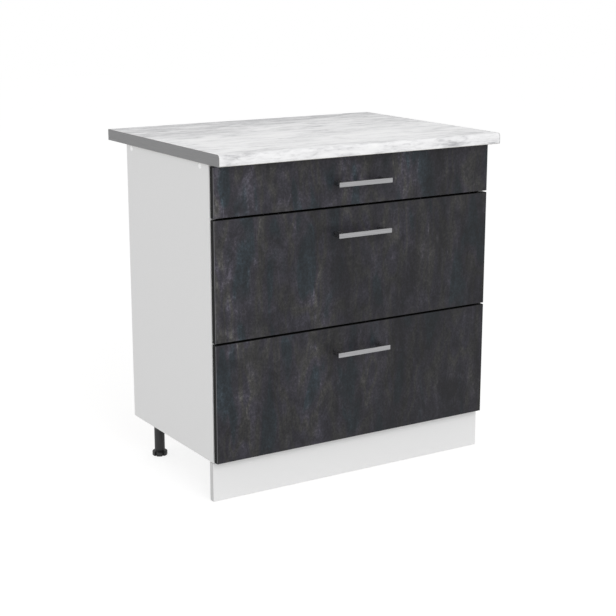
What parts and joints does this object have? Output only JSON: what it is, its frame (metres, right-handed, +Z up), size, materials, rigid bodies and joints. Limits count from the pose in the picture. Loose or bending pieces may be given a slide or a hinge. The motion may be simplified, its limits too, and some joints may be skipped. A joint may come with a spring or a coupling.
{
  "type": "base cabinet with drawers",
  "caption": "Freestanding kitchen base cabinet with pull-out drawers on roller runners, dark fronts, bar handles, white carcass, plinth, levelling legs and overhanging worktop.",
  "frame": {"origin": "on the floor, under the centre of the worktop", "axes": "+Z up, -Y the side of the drawer fronts, +X to the right as seen from the front"},
  "size_m": [0.808, 0.6, 0.848],
  "materials": {
    "marble_laminate": "satin high-pressure laminate, pale marble look, on chipboard",
    "grey_end_strip": "matt grey plastic edge strip",
    "white_melamine": "matt white melamine on chipboard",
    "concrete_decor": "matt dark concrete-look decor on chipboard",
    "satin_metal": "satin nickel-coloured",
    "white_steel": "white powder-coated sheet steel",
    "black_plastic": "moulded black plastic",
    "roller_plastic": "moulded white plastic",
    "white_hardboard": "white-lacquered hardboard"
  },
  "bodies": {
    "carcass": {"worktop": "marble_laminate", "worktop_end_strip_left": "grey_end_strip", "worktop_end_strip_right": "grey_end_strip", "side_panel_left": "white_melamine", "side_panel_right": "white_melamine", "bottom_panel": "white_melamine", "top_rail_front": "white_melamine", "top_rail_back": "white_melamine", "back_panel": "white_hardboard", "plinth_board": "white_melamine", "plinth_clip_left": "black_plastic", "plinth_clip_right": "black_plastic", "leg_socket_front_left": "black_plastic", "leg_socket_front_right": "black_plastic", "leg_socket_back_left": "black_plastic", "leg_socket_back_right": "black_plastic", "top_cabinet_rail_left": "white_steel", "top_cabinet_rail_right": "white_steel", "middle_cabinet_rail_left": "white_steel", "middle_cabinet_rail_right": "white_steel", "bottom_cabinet_rail_left": "white_steel", "bottom_cabinet_rail_right": "white_steel"},
    "foot_front_left": {"foot_front_left": "black_plastic"},
    "foot_front_right": {"foot_front_right": "black_plastic"},
    "foot_back_left": {"foot_back_left": "black_plastic"},
    "foot_back_right": {"foot_back_right": "black_plastic"},
    "top_drawer": {"top_drawer_front": "concrete_decor", "top_drawer_handle": "satin_metal", "top_drawer_side_left": "white_steel", "top_drawer_side_right": "white_steel", "top_drawer_back": "white_melamine", "top_drawer_bottom": "white_melamine"},
    "middle_drawer": {"middle_drawer_front": "concrete_decor", "middle_drawer_handle": "satin_metal", "middle_drawer_side_left": "white_steel", "middle_drawer_side_right": "white_steel", "middle_drawer_back": "white_melamine", "middle_drawer_bottom": "white_melamine", "middle_drawer_rod_left": "white_steel", "middle_drawer_rod_right": "white_steel"},
    "bottom_drawer": {"bottom_drawer_front": "concrete_decor", "bottom_drawer_handle": "satin_metal", "bottom_drawer_side_left": "white_steel", "bottom_drawer_side_right": "white_steel", "bottom_drawer_back": "white_melamine", "bottom_drawer_bottom": "white_melamine", "bottom_drawer_rod_left": "white_steel", "bottom_drawer_rod_right": "white_steel"},
    "top_cabinet_roller_left": {"top_cabinet_roller_left": "roller_plastic"},
    "top_drawer_roller_left": {"top_drawer_roller_left": "roller_plastic"},
    "top_cabinet_roller_right": {"top_cabinet_roller_right": "roller_plastic"},
    "top_drawer_roller_right": {"top_drawer_roller_right": "roller_plastic"},
    "middle_cabinet_roller_left": {"middle_cabinet_roller_left": "roller_plastic"},
    "middle_drawer_roller_left": {"middle_drawer_roller_left": "roller_plastic"},
    "middle_cabinet_roller_right": {"middle_cabinet_roller_right": "roller_plastic"},
    "middle_drawer_roller_right": {"middle_drawer_roller_right": "roller_plastic"},
    "bottom_cabinet_roller_left": {"bottom_cabinet_roller_left": "roller_plastic"},
    "bottom_drawer_roller_left": {"bottom_drawer_roller_left": "roller_plastic"},
    "bottom_cabinet_roller_right": {"bottom_cabinet_roller_right": "roller_plastic"},
    "bottom_drawer_roller_right": {"bottom_drawer_roller_right": "roller_plastic"}
  },
  "joints": [
    {"name": "foot_front_left_turn", "type": "hinge", "parent": "carcass", "child": "foot_front_left", "pos_m": [-0.358, -0.19, 0], "axis": [0, 0, 1], "range_deg": [-720, 1440]},
    {"name": "foot_front_right_turn", "type": "hinge", "parent": "carcass", "child": "foot_front_right", "pos_m": [0.358, -0.19, 0], "axis": [0, 0, 1], "range_deg": [-720, 1440]},
    {"name": "foot_back_left_turn", "type": "hinge", "parent": "carcass", "child": "foot_back_left", "pos_m": [-0.358, 0.138, 0], "axis": [0, 0, 1], "range_deg": [-720, 1440]},
    {"name": "foot_back_right_turn", "type": "hinge", "parent": "carcass", "child": "foot_back_right", "pos_m": [0.358, 0.138, 0], "axis": [0, 0, 1], "range_deg": [-720, 1440]},
    {"name": "top_drawer_slide", "type": "slide", "parent": "carcass", "child": "top_drawer", "axis": [0, -1, 0], "range_m": [0, 0.3]},
    {"name": "middle_drawer_slide", "type": "slide", "parent": "carcass", "child": "middle_drawer", "axis": [0, -1, 0], "range_m": [0, 0.3]},
    {"name": "bottom_drawer_slide", "type": "slide", "parent": "carcass", "child": "bottom_drawer", "axis": [0, -1, 0], "range_m": [0, 0.3]},
    {"name": "top_cabinet_roller_left_spin", "type": "hinge", "parent": "carcass", "child": "top_cabinet_roller_left", "pos_m": [-0.37675, -0.228, 0.7231], "axis": [1, 0, 0], "range_deg": [0, 2030]},
    {"name": "top_drawer_roller_left_spin", "type": "hinge", "parent": "top_drawer", "child": "top_drawer_roller_left", "pos_m": [-0.37675, 0.1443, 0.7228], "axis": [1, 0, 0], "range_deg": [0, 2030]},
    {"name": "top_cabinet_roller_right_spin", "type": "hinge", "parent": "carcass", "child": "top_cabinet_roller_right", "pos_m": [0.37675, -0.228, 0.7231], "axis": [1, 0, 0], "range_deg": [0, 2030]},
    {"name": "top_drawer_roller_right_spin", "type": "hinge", "parent": "top_drawer", "child": "top_drawer_roller_right", "pos_m": [0.37675, 0.1443, 0.7228], "axis": [1, 0, 0], "range_deg": [0, 2030]},
    {"name": "middle_cabinet_roller_left_spin", "type": "hinge", "parent": "carcass", "child": "middle_cabinet_roller_left", "pos_m": [-0.37675, -0.228, 0.4261], "axis": [1, 0, 0], "range_deg": [0, 2030]},
    {"name": "middle_drawer_roller_left_spin", "type": "hinge", "parent": "middle_drawer", "child": "middle_drawer_roller_left", "pos_m": [-0.37675, 0.1443, 0.4258], "axis": [1, 0, 0], "range_deg": [0, 2030]},
    {"name": "middle_cabinet_roller_right_spin", "type": "hinge", "parent": "carcass", "child": "middle_cabinet_roller_right", "pos_m": [0.37675, -0.228, 0.4261], "axis": [1, 0, 0], "range_deg": [0, 2030]},
    {"name": "middle_drawer_roller_right_spin", "type": "hinge", "parent": "middle_drawer", "child": "middle_drawer_roller_right", "pos_m": [0.37675, 0.1443, 0.4258], "axis": [1, 0, 0], "range_deg": [0, 2030]},
    {"name": "bottom_cabinet_roller_left_spin", "type": "hinge", "parent": "carcass", "child": "bottom_cabinet_roller_left", "pos_m": [-0.37675, -0.228, 0.1291], "axis": [1, 0, 0], "range_deg": [0, 2030]},
    {"name": "bottom_drawer_roller_left_spin", "type": "hinge", "parent": "bottom_drawer", "child": "bottom_drawer_roller_left", "pos_m": [-0.37675, 0.1443, 0.1288], "axis": [1, 0, 0], "range_deg": [0, 2030]},
    {"name": "bottom_cabinet_roller_right_spin", "type": "hinge", "parent": "carcass", "child": "bottom_cabinet_roller_right", "pos_m": [0.37675, -0.228, 0.1291], "axis": [1, 0, 0], "range_deg": [0, 2030]},
    {"name": "bottom_drawer_roller_right_spin", "type": "hinge", "parent": "bottom_drawer", "child": "bottom_drawer_roller_right", "pos_m": [0.37675, 0.1443, 0.1288], "axis": [1, 0, 0], "range_deg": [0, 2030]}
  ],
  "couplings": [
    {"joint": "top_cabinet_roller_left_spin", "follows": "top_drawer_slide", "rad_per_m": 117.65},
    {"joint": "top_drawer_roller_left_spin", "follows": "top_drawer_slide", "rad_per_m": 117.65},
    {"joint": "top_cabinet_roller_right_spin", "follows": "top_drawer_slide", "rad_per_m": 117.65},
    {"joint": "top_drawer_roller_right_spin", "follows": "top_drawer_slide", "rad_per_m": 117.65},
    {"joint": "middle_cabinet_roller_left_spin", "follows": "middle_drawer_slide", "rad_per_m": 117.65},
    {"joint": "middle_drawer_roller_left_spin", "follows": "middle_drawer_slide", "rad_per_m": 117.65},
    {"joint": "middle_cabinet_roller_right_spin", "follows": "middle_drawer_slide", "rad_per_m": 117.65},
    {"joint": "middle_drawer_roller_right_spin", "follows": "middle_drawer_slide", "rad_per_m": 117.65},
    {"joint": "bottom_cabinet_roller_left_spin", "follows": "bottom_drawer_slide", "rad_per_m": 117.65},
    {"joint": "bottom_drawer_roller_left_spin", "follows": "bottom_drawer_slide", "rad_per_m": 117.65},
    {"joint": "bottom_cabinet_roller_right_spin", "follows": "bottom_drawer_slide", "rad_per_m": 117.65},
    {"joint": "bottom_drawer_roller_right_spin", "follows": "bottom_drawer_slide", "rad_per_m": 117.65}
  ]
}
